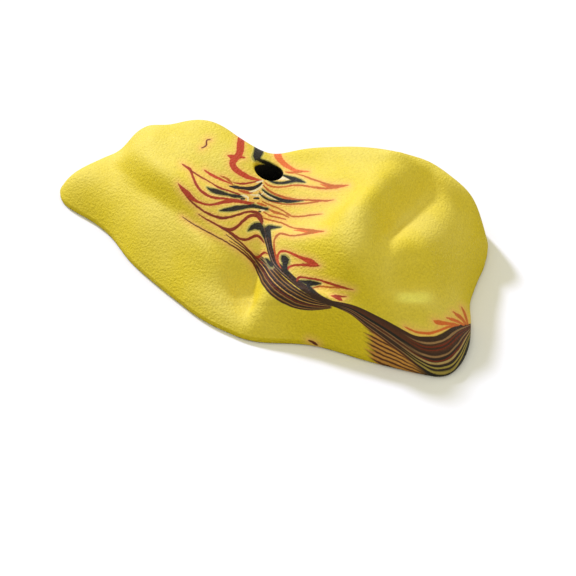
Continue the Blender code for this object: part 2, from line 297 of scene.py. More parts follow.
def shown_height(x, y):
    """Height of the skin as shown: the CAD's skin with two small changes.

    It dips a little further round the mouth of the bolt's hole, and a low brow stands on the
    camera's side of the right set screw.
    """
    radius = np.hypot(x, y)
    dip = MOUTH_DIP * np.exp(-0.5 * (radius / MOUTH_DIP_REACH) ** 2)
    from_brow = np.stack([x, y], axis=-1) - BROW_PLACE
    along = from_brow @ LEVEL_RIGHT / BROW_WIDTH
    away = from_brow @ LEVEL_AWAY / BROW_DEPTH
    brow = BROW_RISE * np.exp(-0.5 * (along ** 2 + away ** 2))
    return skin_height(x, y) - dip + brow


def roof_height(x, y):
    """Height of the hollow's roof, a wall's thickness under the skin, square to it."""
    step = ROOF_SMOOTHING
    slope_x = (skin_height(x + step, y) - skin_height(x - step, y)) / (2.0 * step)
    slope_y = (skin_height(x, y + step) - skin_height(x, y - step)) / (2.0 * step)
    steepness = np.sqrt(1.0 + slope_x ** 2 + slope_y ** 2)
    thickness = WALL * np.minimum(steepness, STEEPEST_WALL)
    return np.maximum(skin_height(x, y) - thickness, LEAST_HOLLOW)


def rim_radius(directions, reach):
    """Radius from the bolt axis, along each direction, where the rim is RIM_WIDTH wide."""
    low = np.full(len(reach), BOLT.boss_diameter / 2.0)
    high = np.array(reach, float)
    for _ in range(RIM_SEARCH_STEPS):
        middle = (low + high) / 2.0
        point = directions * middle[:, None]
        inside = edge_distance(point[:, 0], point[:, 1]) > RIM_WIDTH
        low = np.where(inside, middle, low)
        high = np.where(inside, high, middle)
    return low


def ring(flat_points, heights):
    """Join plan points and heights to one ring of 3-D points."""
    heights = np.broadcast_to(heights, (len(flat_points),))
    return np.column_stack([flat_points, heights])


def loft(name, rings, closed_through=False):
    """Make a closed mesh object through rings that all have as many points."""
    count = len(rings[0])
    points = (np.vstack(rings) - np.array([*MIDDLE, 0.0])) * MM
    here = np.arange(count)
    after = np.roll(here, -1)
    faces = []
    row_count = len(rings)
    last = row_count if closed_through else row_count - 1
    for k in range(last):
        low = k * count
        high = ((k + 1) % row_count) * count
        faces += np.column_stack([low + here, low + after, high + after, high + here]).tolist()
    if not closed_through:
        faces.append(here.tolist())
        faces.append(((row_count - 1) * count + here).tolist())
    data = bpy.data.meshes.new(name)
    data.from_pydata(points.tolist(), [], faces)
    mesh = bmesh.new()
    mesh.from_mesh(data)
    bmesh.ops.recalc_face_normals(mesh, faces=mesh.faces)
    mesh.to_mesh(data)
    mesh.free()
    item = bpy.data.objects.new(name, data)
    bpy.context.scene.collection.objects.link(item)
    return item


def bore_steps(bore):
    """Radius and height of each step of a bore, from its washer groove down to the back."""
    groove_top = bore.seat_height + bore.washer_thickness + FIT_GAP
    groove_floor = bore.seat_height - FIT_GAP
    groove_radius = bore.washer_diameter / 2.0 + FIT_GAP
    return (
        (bore.counterbore_diameter / 2.0, groove_top),
        (groove_radius, groove_top),
        (groove_radius, groove_floor),
        (bore.hole_diameter / 2.0, groove_floor),
    )


def make_casting():
    """Loft the hollow casting: skin, bolt bore, boss, roof and rim as one ring of rings."""
    edge = closed_curve(OUTLINE, COLUMNS) * STRETCH
    reach = np.hypot(edge[:, 0], edge[:, 1])
    directions = edge / reach[:, None]
    outward = np.column_stack([
        np.roll(edge[:, 1], -1) - np.roll(edge[:, 1], 1),
        np.roll(edge[:, 0], 1) - np.roll(edge[:, 0], -1),
    ])
    outward /= np.hypot(outward[:, 0], outward[:, 1])[:, None]
    mouth = BOLT.counterbore_diameter / 2.0
    lip = directions * (mouth + MOUTH_ROUNDING)
    rings = []
    for angle in BASE_ANGLES:
        turn = math.radians(angle)
        inset = BASE_ROUNDING * (1.0 - math.sin(turn))
        rings.append(ring(edge - outward * inset, BASE_ROUNDING * (1.0 - math.cos(turn))))
    rings.append(ring(edge, EDGE_HEIGHT / 2.0))
    rings.append(ring(edge, EDGE_HEIGHT))
    shares = (np.arange(1, SKIN_RINGS + 1) / SKIN_RINGS) ** SKIN_SPACING
    plans = edge * (1.0 - shares[:, None, None]) + lip * shares[:, None, None]
    heights = shown_height(plans[..., 0], plans[..., 1])
    rings += [ring(plan, height) for plan, height in zip(plans, heights)]
    for angle in LIP_ANGLES:
        turn = math.radians(angle)
        plan = directions * (mouth + MOUTH_ROUNDING * (1.0 - math.sin(turn)))
        drop = MOUTH_ROUNDING * (1.0 - math.cos(turn))
        rings.append(ring(plan, shown_height(plan[:, 0], plan[:, 1]) - drop))
    wall_top = shown_height(plan[:, 0], plan[:, 1]) - MOUTH_ROUNDING
    rings += [ring(plan, wall_top - drop) for drop in WALL_DROPS]
    for radius, height in bore_steps(BOLT):
        rings.append(ring(directions * radius, height))
    rings.append(ring(directions * BOLT.hole_diameter / 2.0, 0.0))
    boss = directions * BOLT.boss_diameter / 2.0
    rings.append(ring(boss, 0.0))
    rim = directions * rim_radius(directions, reach)[:, None]
    shares = np.linspace(0.0, 1.0, ROOF_RINGS + 1)
    plans = boss * (1.0 - shares[:, None, None]) + rim * shares[:, None, None]
    heights = roof_height(plans[..., 0], plans[..., 1])
    rings += [ring(plan, height) for plan, height in zip(plans, heights)]
    rings.append(ring(rim, 0.0))
    return loft("marbled_casting", rings, closed_through=True)


def outline_reach(direction):
    """Distance from the bolt axis to the outline in one direction, as a list of one."""
    reach = np.hypot(EDGE[:, 0], EDGE[:, 1])
    facing = (EDGE @ direction) / reach
    return reach[[np.argmax(facing)]]


def make_rib(angle):
    """Loft one radial rib from the boss to the rim, with its top inside the wall."""
    turn = math.radians(angle)
    direction = np.array([math.cos(turn), math.sin(turn)])
    sideways = np.array([-math.sin(turn), math.cos(turn)])
    outer = rim_radius(direction[None, :], outline_reach(direction))[0] + RIB_BITE
    inner = BOLT.boss_diameter / 2.0 - RIB_BITE
    stations = []
    for distance in np.linspace(inner, outer, RIB_STATIONS):
        left = direction * distance + sideways * RIB_THICKNESS / 2.0
        right = direction * distance - sideways * RIB_THICKNESS / 2.0
        tops = roof_height(np.array([left[0], right[0]]), np.array([left[1], right[1]]))
        tops = tops + WALL / 2.0
        stations.append(np.array([
            (left[0], left[1], RIB_RECESS),
            (right[0], right[1], RIB_RECESS),
            (right[0], right[1], tops[1]),
            (left[0], left[1], tops[0]),
        ]))
    return loft("rib", stations)


def bore_circle(bore, radius):
    """Plan points of a circle round the axis of a bore."""
    turns = np.linspace(0.0, math.tau, bore.sides, endpoint=False)
    return np.column_stack([np.cos(turns), np.sin(turns)]) * radius + (bore.x, bore.y)


def make_post(bore):
    """Loft the round post that carries a set screw's hole down to the back."""
    plan = bore_circle(bore, bore.boss_diameter / 2.0)
    tops = roof_height(plan[:, 0], plan[:, 1]) + WALL / 2.0
    return loft("post", [ring(plan, 0.0), ring(plan, tops)])


def make_bore_cutter(bore):
    """Loft the cutter for a set screw's hole, open above the skin and below the back."""
    top = float(skin_height(np.array(bore.x), np.array(bore.y))) + CUTTER_REACH
    steps = (
        (bore.counterbore_diameter / 2.0, top),
        *bore_steps(bore),
        (bore.hole_diameter / 2.0, -CUTTER_REACH),
    )
    return loft("cut_" + bore.name, [ring(bore_circle(bore, radius), z) for radius, z in steps])


def join_shape(target, other, operation):
    """Add or take away another closed shape, and remove that shape."""
    modifier = target.modifiers.new("join", "BOOLEAN")
    modifier.operation = operation
    modifier.solver = "MANIFOLD"
    modifier.object = other
    bpy.context.view_layer.update()
    depsgraph = bpy.context.evaluated_depsgraph_get()
    finished = bpy.data.meshes.new_from_object(target.evaluated_get(depsgraph))
    target.modifiers.clear()
    before = target.data
    target.data = finished
    bpy.data.meshes.remove(before)
    bpy.data.objects.remove(other)


# The marbling, in the units of the picture. A stroke is a tone and then its stations: x, y and
# half-width. The tone runs from 0 for black over brown, red and orange to 1.2 for pale cream.
LINES = (
    (0.5, (182, 164, 0.5), (186, 166.6, 1.1), (190.5, 169.8, 1.5), (192.5, 176, 1.1),
     (196, 184, 1.2), (201, 190.8, 1.3), (208, 195.6, 1.3), (217, 198.2, 1.2), (227, 198.9, 1.0),
     (237, 200.4, 1.3), (246, 202.2, 1.2), (254, 203, 0.6)),
    (0.45, (190.5, 170, 0.9), (198, 175.4, 0.8), (205, 179.3, 0.6), (212, 183.4, 0.6),
     (219, 187.6, 0.9), (226, 190, 0.8), (233, 192.5, 0.8), (240, 194.6, 0.6)),
    (0.52, (178.2, 183.5, 0.4), (182.5, 189, 2.2), (187.5, 194, 3.1), (192.3, 198.4, 2.6),
     (198, 202, 1.3), (206, 204.3, 1.1), (214, 204.2, 1.2), (221, 202.8, 1.5), (229, 201.2, 1.9),
     (237, 201.3, 1.5), (245, 203, 1.0), (252, 204.6, 0.6)),
    (0.4, (186, 196, 0.8), (191, 201.5, 0.9), (197.5, 207, 0.9), (205, 211.8, 1.0),
     (213, 215.6, 1.2), (221, 217.8, 1.4), (229, 217.4, 1.2), (237, 215.2, 1.1), (244, 212.8, 1.1),
     (251, 211.6, 1.3), (257, 212.8, 1.5), (261.3, 216.5, 1.3), (263, 222, 0.8)),
    (0.42, (198, 214, 0.3), (205, 218.3, 0.7), (212, 222.3, 0.9), (219, 226, 1.0),
     (226, 229.2, 1.6), (232.5, 229.2, 1.7), (238.5, 225.6, 1.4), (243.5, 220.6, 1.5),
     (249, 216.4, 1.6), (255, 215.4, 1.7), (259.5, 218.5, 1.4), (262, 224, 0.9)),
    (0.6, (204, 170, 0.5), (211, 174.5, 1.3), (219, 178.6, 1.3), (226, 181.6, 0.8),
     (232, 184.3, 0.4)),
    (0.15, (229, 185.9, 0.5), (235, 187.2, 1.6), (241, 188, 1.4), (247, 188.6, 1.8),
     (253, 188.3, 1.9), (258, 185.8, 1.4), (261.5, 182.3, 0.6)),
    (0.5, (233, 182.6, 0.4), (240, 183.8, 0.9), (247, 183.5, 0.9), (254, 182.2, 0.8),
     (259, 180.6, 0.5)),
    (0.42, (226, 229.5, 0.5), (232.5, 233.4, 0.9), (239, 238.2, 1.1), (246, 239.6, 1.4),
     (252, 237.3, 1.4), (257, 235.6, 1.5), (261, 238.4, 1.2), (264, 243, 0.6)),
    (0.5, (253.5, 256, 0.8), (258, 257.6, 1.5), (261, 254.6, 1.2), (264.5, 252.3, 1.2),
     (267.5, 254, 0.5)),
    (0.6, (241.5, 136, 3.6), (240.6, 145, 3.7), (239.8, 153, 3.6), (236, 158, 3.4),
     (232.5, 162, 3.4), (233.4, 166.5, 3.1), (237.5, 171, 2.9), (243.5, 174.8, 2.6),
     (250, 177.8, 2.0), (256.5, 179.4, 1.3), (262, 180.3, 0.4)),
    (0.6, (227.8, 155.5, 0.8), (231, 156.5, 2.2), (235, 158, 2.6)),
    (0.6, (238, 156.5, 2), (245, 157.6, 0.7)),
    (1.0, (276.5, 151, 3.2), (278, 156, 3.7), (281.5, 161.5, 3.0), (287, 166, 2.2),
     (293.5, 169.6, 1.6), (300, 171.2, 1.2), (309.5, 171.6, 0.3)),
    (0.9, (285, 171.8, 0.3), (291, 172.5, 1.0), (297, 172.2, 1.1), (303, 171.6, 0.6)),
    (0.95, (320, 184.2, 0.3), (327, 186.2, 1.2), (334, 187, 1.9), (341, 186.2, 1.5),
     (349, 185.2, 0.3)),
    (0.95, (294, 230.4, 0.3), (302, 230.6, 1.2), (309, 231.2, 1.8), (317, 231.6, 1.4),
     (325, 231.2, 0.3)),
    (0.85, (295, 173.6, 0.3), (303, 175.7, 0.7), (310.5, 178.4, 0.8), (318, 181.1, 0.9),
     (325, 183.7, 1.1), (332, 185.7, 1.6), (339, 186.2, 1.3), (348.5, 185.3, 0.3)),
    (0.85, (264.5, 182, 0.4), (268, 185, 0.8), (274, 186.9, 0.9), (283, 186.9, 0.8),
     (292, 185.6, 0.8), (301, 185.3, 0.8), (310, 186.6, 0.9), (319, 188, 1.0), (327, 188.3, 1.1),
     (334, 187.6, 1.0), (341, 186.4, 0.5)),
    (0.75, (262, 183.5, 0.4), (266, 188, 0.9), (272, 192.6, 1.0), (280, 196, 1.1), (288, 198, 1.0),
     (297, 199.2, 0.7), (307, 199.9, 0.8), (317, 200.7, 1.0), (326, 200.8, 0.8), (334, 199.8, 0.3)),
    (0.8, (259, 191.5, 0.3), (264, 197, 0.7), (270, 200.7, 0.7), (277.5, 203, 0.7),
     (287, 204.2, 0.7), (298, 204, 0.8), (308, 203.1, 0.8), (318, 201.8, 0.7)),
    (0.8, (286, 214.5, 0.4), (293, 216.5, 0.8), (302, 216.4, 0.8), (311, 215.3, 0.7),
     (322, 213.8, 0.3)),
    (0.8, (262, 201, 0.5), (269, 204.6, 0.8), (277, 207.6, 0.8), (284, 211.4, 0.7),
     (291, 215.8, 0.6)),
    (0.8, (266, 208, 0.5), (273, 211.2, 0.9), (281, 213.6, 0.8), (289, 217.4, 0.6)),
    (0.75, (263.5, 212, 0.6), (270, 215.6, 0.8), (278, 217.6, 0.8), (286, 219.4, 0.5)),
    (0.8, (262.5, 217.5, 0.6), (268, 219.6, 0.8), (275, 221.2, 0.8), (282.5, 223.3, 0.8),
     (289, 226.4, 0.8), (296, 228.4, 0.8), (304, 229.3, 1.0), (311.5, 230.6, 1.6),
     (318, 231.2, 0.9), (324, 231.2, 0.3)),
    (0.8, (273.8, 243, 0.5), (275.5, 237.5, 1.1), (280, 233.8, 1.1), (286, 234.6, 0.9),
     (292, 235.7, 0.8), (299, 235, 0.8), (306, 233.6, 1.2), (313, 232.3, 1.3)),
    (0.7, (273.8, 241, 0.6), (274.3, 249, 0.9), (276, 257, 1.0), (278.5, 264, 0.9),
     (281, 268, 0.4)),
    (0.6, (278.5, 262, 0.5), (277.6, 256, 1.0), (280.5, 251.4, 1.2), (287, 251.6, 1.1),
     (293.5, 254.4, 1.2), (300, 257.3, 1.6), (306.5, 260, 2.6), (312.5, 262.4, 2.8),
     (318.5, 265, 0.8)),
    (0.55, (286.5, 272, 0.5), (288, 268, 1.1), (293, 265.6, 1.1), (300, 264.9, 1.1),
     (307, 265, 1.6), (314, 265.6, 1.4), (320, 266, 0.4)),
    (0.5, (297, 281, 0.8), (298.5, 277.3, 1.2), (305, 277.6, 1.0), (313, 278.8, 1.0),
     (321, 280.6, 0.9), (329, 283.2, 1.1), (337, 285.8, 1.3), (345, 288, 1.0), (353.5, 289.8, 0.3)),
    (0.8, (311, 289, 0.4), (316, 286.8, 0.8), (324, 286.6, 0.8), (332, 287.3, 0.8),
     (340, 288, 0.7)),
    (0.55, (331, 295.6, 0.5), (336, 297, 1.8), (341, 300, 1.6)),
    (0.5, (334, 295.8, 1.0), (341, 296.6, 1.0), (347, 296.8, 0.3)),
    (0.95, (404, 326.5, 0.4), (410, 329.6, 0.9), (417, 332, 1.1), (425, 333.2, 1.3),
     (433, 332.6, 1.3), (441, 330, 1.2), (449, 326.8, 1.2), (457, 325.2, 0.9)),
    (0.95, (433, 320, 0.6), (437.5, 322.2, 2.4), (444, 323.4, 2.0), (452, 323.8, 1.4),
     (459, 325, 0.8)),
    (0.95, (446.5, 317.6, 0.5), (452.5, 319.6, 1.5), (458, 321.6, 1.4), (464, 325.2, 1.0)),
    (0.9, (452.5, 311.4, 0.5), (457.5, 314.8, 1.5), (462, 318.8, 1.4), (466, 324.6, 1.0)),
    (0.9, (461, 306.5, 0.4), (464, 312.2, 1.2), (466, 317.5, 1.2), (468, 325, 0.8)),
    (0.3, (308, 339.8, 0.5), (312.5, 342.2, 1.3), (317.5, 345.4, 0.9)),
    (0.35, (201.5, 148, 0.5), (206, 145.5, 0.8), (206.8, 140.5, 0.7), (210.5, 139.6, 0.5)),
    (0.3, (182, 216.5, 0.3), (190, 222, 0.5), (198, 226.9, 0.6), (206, 231.3, 0.6),
     (214, 235.4, 0.6), (222, 239.6, 0.6), (230, 244.4, 0.7), (238, 249.3, 0.8), (245, 254.5, 0.9),
     (251, 260.5, 1.0), (256, 268, 1.0)),
    (0.35, (222, 228, 0.4), (229, 232.6, 0.7), (236, 238.5, 0.8), (243, 244.6, 0.8),
     (250, 251.5, 0.9), (256, 257.8, 0.9), (263, 263.5, 0.9)),
    (0.25, (226, 234.5, 0.3), (233, 239.6, 0.5), (240, 245, 0.6), (247, 250.6, 0.7),
     (253, 256.6, 0.8), (258, 263.5, 0.8)),
    (0.3, (229, 240.5, 0.3), (237, 245.6, 0.5), (244, 250.8, 0.6), (250, 256.6, 0.7),
     (255, 263, 0.8)),
    (0.8, (220, 176, 0.4), (226, 178.2, 1.1), (230.5, 182, 1.1), (233, 185, 0.4)),
    (0.7, (238, 190, 0.4), (243, 191.6, 1.3), (248, 192.8, 1.4), (252.5, 193, 0.5)),
    (1.2, (249, 192, 0.3), (254.5, 190.8, 0.8), (259.5, 188, 0.9), (263, 184.2, 0.5)),
    (0.05, (254.5, 187.6, 0.5), (258.5, 185.6, 1.1), (261.8, 183.2, 0.8)),
    (1.2, (256, 182.6, 0.3), (260, 181.4, 0.8), (263.5, 180.8, 0.4)),
    (1.2, (238.5, 196.6, 0.4), (243, 195.6, 0.8), (247.4, 197.2, 1.0), (248.2, 200.6, 0.5)),
    (0.05, (241, 199.2, 0.8), (244.6, 198.8, 1.0)),
    (1.2, (250, 194.6, 0.4), (254.5, 195.4, 0.9), (259, 195.4, 0.9), (263, 193.4, 0.4)),
    (0.05, (254, 198.6, 0.9), (258.6, 198.4, 1.2)),
    (0.85, (257, 203, 0.6), (261.5, 204.4, 1.3), (266.5, 205.8, 0.7)),
    (1.2, (261, 209.8, 0.8), (264, 210.4, 0.9)),
    (0.05, (258.6, 211.2, 0.6), (260.6, 211.8, 0.9)),
    (0.85, (269, 209.8, 0.5), (274.5, 212.4, 1.3), (280.5, 214.4, 0.5)),
    (1.0, (281, 198.4, 0.3), (288, 198.8, 1.0), (296, 199.3, 0.8), (303, 199.6, 0.3)),
    (1.2, (274, 179.8, 0.4), (279, 178.3, 1.6), (284.5, 178.6, 1.4), (289, 179.6, 0.4)),
    (1.2, (263, 191.6, 0.3), (269, 196, 0.7), (276, 199.6, 0.6)),
)

# Black strokes, which lie over all the others
INK = (
    (0, (206.9, 187.2, 0.3), (211, 189.8, 1.8), (217, 191.8, 2.3), (223.5, 193.4, 1.9),
     (229, 195, 1.0), (234, 196, 1.5), (240.5, 196.6, 1.3), (243.5, 197.2, 0.3)),
    (0, (219.5, 210.6, 0.3), (226, 209.8, 1.7), (233, 208.8, 2.3), (240, 207.7, 2.2),
     (247, 206.6, 1.7), (253, 206, 1.8), (259, 207.2, 1.4), (263.5, 208.6, 1.4), (267.5, 209, 1.3)),
    (0, (248, 231, 0.4), (251.5, 228, 2.4), (256, 226, 3.6), (260, 226.6, 3.8), (262.5, 231, 2.2),
     (264.5, 237, 1.4)),
    (0, (281, 227, 0.3), (275.5, 227.3, 1.3), (270.5, 227.4, 2.6), (268, 229, 2.8),
     (268.6, 236, 1.6)),
    (0, (283.5, 175.5, 0.8), (289, 177.6, 1.6), (295, 179.6, 2.2), (301, 181, 1.5),
     (305.5, 182.3, 0.3)),
    (0, (269, 180.3, 0.6), (275, 182.6, 1.0), (282, 183.1, 1.0), (289, 182, 1.3), (296, 181, 1.0)),
    (0, (262.5, 189.5, 0.6), (268, 193.9, 1.0), (274, 197, 1.2), (280, 199.5, 1.6),
     (286, 200.9, 1.9), (292, 201.2, 1.6), (299, 200.8, 0.7), (303.5, 200.6, 0.2)),
    (0, (259.5, 193.6, 0.5), (265, 197.8, 0.8), (271, 200.4, 0.8), (277, 201.6, 0.8),
     (282, 201.9, 0.4)),
    (0, (259.5, 146, 4.6), (258.5, 152, 4.6), (256.5, 157, 4.2)),
    (0, (256.5, 158.5, 1.5), (262, 161, 1.6), (268, 163.8, 2.0), (273, 167, 2.2)),
    (0, (283.8, 258, 3.6), (285.5, 260.6, 4.3), (285, 264.5, 3.0), (285.5, 269.5, 2.2),
     (288, 274, 2)),
    (0, (299.5, 280.6, 0.5), (304.5, 282, 1.8), (310, 283, 2.8), (315.5, 283.4, 2.0),
     (321.5, 283.8, 0.3)),
    (0, (307, 284.5, 1.0), (310, 288, 1.6), (314, 292.5, 1.6)),
    (0, (265.7, 258.6, 0.6), (268.2, 260.9, 1.4), (271.5, 265.5, 2)),
)

# Ribbons of many stripes: pairs of points on the upper and the lower edge
BAND = (
    ((333.7, 300.8), (333.7, 306.5)), ((353, 304.8), (350, 314.5)), ((371, 312.5), (366, 327.5)),
    ((390, 322.5), (384, 341)), ((405, 330.5), (402, 355)), ((417, 335.4), (420, 369)),
    ((429, 336), (437, 378)), ((441, 333.5), (453, 375.5)), ((451, 327.3), (462, 364)),
    ((459, 324.4), (467, 350)), ((467, 324), (471, 336)),
)
STREAM = (
    ((251, 249), (247, 257)), ((260, 255), (253, 264.5)), ((269, 261.5), (257.5, 275)),
    ((278, 271), (263, 287)), ((289, 281.5), (274, 298.5)), ((302, 291), (291, 307.5)),
    ((316, 298.5), (310, 310.8)), ((333, 304.5), (333, 308.5)),
)
BRUSH = (
    ((360, 322), (363, 357)), ((376, 331), (379, 366)), ((392, 341), (397, 371.5)),
    ((408, 352), (415, 377)), ((424, 366), (430, 381)),
)
SPINE = (
    ((259.5, 226), (271, 224)), ((262.5, 236), (271.5, 234.5)), ((265.5, 246), (272.5, 245)),
    ((268.2, 255.5), (275.2, 254)), ((272, 264.5), (279, 261.5)), ((279, 272.5), (284.5, 267)),
    ((288, 280.5), (292.5, 274)), ((298, 288.5), (302, 282)), ((309, 296), (313.5, 289.5)),
    ((322, 303), (325, 297)), ((336, 307.8), (337, 301.8)), ((350, 313), (352, 305.5)),
)

# A painted highlight on the ledge, in units of the picture: its middle and half its size
LEDGE_PLACE = (414.0, 297.5)
LEDGE_SIZE = (17.0, 5.5)

# How the marbling ends beyond the skyline, in metres, and how deep it runs in, in millimetres
SKYLINE_STRIP = 0.003
FADE_END = 0.022
FADE_RUN = 0.012
SKIN_DEPTH = 6.0
TURNED_AWAY = -0.6
TURNING_RUN = 0.2

# The part of the picture that the marbling lies in starts right of and below this place
MARBLING_CORNER = (165.0, 122.0)
LEAST_FACING = -0.7

FAR_AWAY = 30.0
LAYER_GAP = 4.5
STROKE_MARGIN = 14.0
SHORTEST_STEP = 0.000001
STROKE_STEPS = 6
RIBBON_STEPS = 30
RIBBON_COLUMNS = 52
RIBBON_MARGIN = 0.35
LEAST_SCALE = 0.000000001


def open_curve(stations, steps):
    """Sample a smooth open curve through the stations, with as many steps in each span."""
    corners = np.array(stations, float)
    padded = np.vstack([2.0 * corners[0] - corners[1], corners, 2.0 * corners[-1] - corners[-2]])
    shares = np.linspace(0.0, 1.0, steps, endpoint=False)[:, None, None]
    fine = spline(padded[:-3], padded[1:-2], padded[2:-1], padded[3:], shares)
    return np.vstack([fine.transpose(1, 0, 2).reshape(-1, corners.shape[1]), corners[-1:]])


def stroke_fields(points, stations):
    """How far each point lies to the side of a tapered stroke, the half-width there, and the gap.

    The side is signed, so that it runs straight through the middle of the stroke. Beyond the two
    ends the half-width shrinks, which rounds them off.
    """
    side = np.full(len(points), FAR_AWAY)
    half = np.zeros(len(points))
    gap = np.full(len(points), FAR_AWAY)
    corners = np.array(stations, float)[:, :2]
    close = np.all(points > corners.min(axis=0) - STROKE_MARGIN, axis=1)
    close &= np.all(points < corners.max(axis=0) + STROKE_MARGIN, axis=1)
    spots = points[close]
    near_side, near_half, near_gap = side[close], half[close], gap[close]
    path = open_curve(stations, STROKE_STEPS)
    for start, end in zip(path, path[1:]):
        step = end[:2] - start[:2]
        length = math.hypot(*step)
        if length < SHORTEST_STEP:
            continue
        step = step / length
        offset = spots - start[:2]
        along = offset @ step
        across = offset[:, 0] * step[1] - offset[:, 1] * step[0]
        inside = np.clip(along, 0.0, length)
        overrun = np.abs(along - inside)
        width = start[2] + inside / length * (end[2] - start[2])
        distance = np.hypot(across, overrun) - width
        closer = distance < near_gap
        near_gap = np.where(closer, distance, near_gap)
        near_side = np.where(closer, across, near_side)
        near_half = np.where(closer, width - overrun, near_half)
    side[close], half[close], gap[close] = near_side, near_half, near_gap
    return side, half, gap


def far_apart(one, other):
    """Whether two stroke paths stay LAYER_GAP apart from edge to edge."""
    offset = one[:, None, :2] - other[None, :, :2]
    distance = np.hypot(offset[..., 0], offset[..., 1])
    return (distance - one[:, None, 2] - other[None, :, 2]).min() > LAYER_GAP


def sort_into_layers(lines):
    """Share strokes out over layers, so that no two strokes of a layer come close together."""
    layers = []
    for tone, *stations in lines:
        path = open_curve(stations, STROKE_STEPS)
        for layer in layers:
            if all(far_apart(path, other) for _, _, other in layer):
                layer.append((tone, stations, path))
                break
        else:
            layers.append([(tone, stations, path)])
    return layers


LINE_LAYERS = sort_into_layers(LINES)
INK_LAYERS = sort_into_layers(INK)


def layer_fields(points, layer):
    """Side, half-width and tone of the nearest stroke of one layer, and the gap to it."""
    fields = np.zeros((len(points), 3))
    fields[:, 0] = FAR_AWAY
    best = np.full(len(points), FAR_AWAY)
    for tone, stations, _ in layer:
        side, half, gap = stroke_fields(points, stations)
        closer = gap < best
        best = np.where(closer, gap, best)
        stroke = np.column_stack([side, half, np.full(len(points), tone)])
        fields = np.where(closer[:, None], stroke, fields)
    return fields, best


def ribbon_fields(points, pairs):
    """Place of each point along a ribbon and across it, each from 0 to 1 on the ribbon."""
    edges = open_curve([(*upper, *lower) for upper, lower in pairs], RIBBON_STEPS)
    rows = len(edges)
    across = np.linspace(-RIBBON_MARGIN, 1.0 + RIBBON_MARGIN, RIBBON_COLUMNS)
    upper = edges[:, None, :2]
    lower = edges[:, None, 2:]
    grid = upper * (1.0 - across[None, :, None]) + lower * across[None, :, None]
    flat = grid.reshape(-1, 2)
    tree = kdtree.KDTree(len(flat))
    for index, spot in enumerate(flat.tolist()):
        tree.insert((*spot, 0.0), index)
    tree.balance()
    found = np.array([tree.find((*spot, 0.0))[1] for spot in points.tolist()])
    row, column = found // len(across), found % len(across)
    along_step = np.gradient(grid, axis=0)[row, column]
    across_step = np.gradient(grid, axis=1)[row, column]
    offset = points - flat[found]
    scale = along_step[:, 0] * across_step[:, 1] - along_step[:, 1] * across_step[:, 0]
    scale = np.where(np.abs(scale) < LEAST_SCALE, LEAST_SCALE, scale)
    more_along = (offset[:, 0] * across_step[:, 1] - offset[:, 1] * across_step[:, 0]) / scale
    more_across = (along_step[:, 0] * offset[:, 1] - along_step[:, 1] * offset[:, 0]) / scale
    more_along = np.clip(more_along, -2.0, 2.0)
    more_across = np.clip(more_across, -2.0, 2.0)
    u = (row + more_along) / (rows - 1)
    v = across[column] + more_across * (across[1] - across[0])
    return u, v


def picture_place(points):
    """Where world points lie in the picture, and the way from each point to the camera."""
    offset = points - np.array(CAMERA_PLACE)
    depth = -(offset @ np.array(CAMERA_BACK))
    scale = LENS / SENSOR * PICTURE / depth
    x = PICTURE / 2.0 + offset @ np.array(CAMERA_RIGHT) * scale
    y = PICTURE / 2.0 - offset @ np.array(CAMERA_UP) * scale
    toward = -offset / np.linalg.norm(offset, axis=1)[:, None]
    return np.column_stack([x, y]), toward


def mesh_points(mesh):
    """Places of the mesh points in metres."""
    points = np.zeros(len(mesh.vertices) * 3)
    mesh.vertices.foreach_get("co", points)
    return points.reshape(-1, 3)


def plan_place(points):
    """Plan places of world points, in millimetres from the bolt axis."""
    return points[:, :2] / MM + MIDDLE


def add_attribute(mesh, name, values):
    """Store one number, or one vector, for each point of the mesh."""
    if values.ndim == 2:
        attribute = mesh.attributes.new(name, "FLOAT_VECTOR", "POINT")
        attribute.data.foreach_set("vector", values.astype(np.float32).ravel())
    else:
        attribute = mesh.attributes.new(name, "FLOAT", "POINT")
        attribute.data.foreach_set("value", values.astype(np.float32))


def past_skyline(points):
    """How far each point lies beyond the skyline that the camera sees, level and in metres."""
    strip = np.round(points @ np.array(CAMERA_RIGHT) / SKYLINE_STRIP).astype(int)
    strip -= strip.min()
    away = points[:, :2] @ LEVEL_AWAY
    rising = np.argsort(points @ np.array(CAMERA_UP))
    skyline = np.zeros(strip.max() + 1)
    skyline[strip[rising]] = away[rising]
    return away - skyline[strip]


def shown_share(points, facing):
    """Where the marbling shows: on the skin that the camera sees, and a little beyond it."""
    depth = shown_height(*plan_place(points).T) - points[:, 2] / MM
    turned = np.clip((facing - TURNED_AWAY) / TURNING_RUN, 0.0, 1.0)
    beyond = np.clip((FADE_END - past_skyline(points)) / FADE_RUN, 0.0, 1.0)
    return turned * beyond * (depth < SKIN_DEPTH)


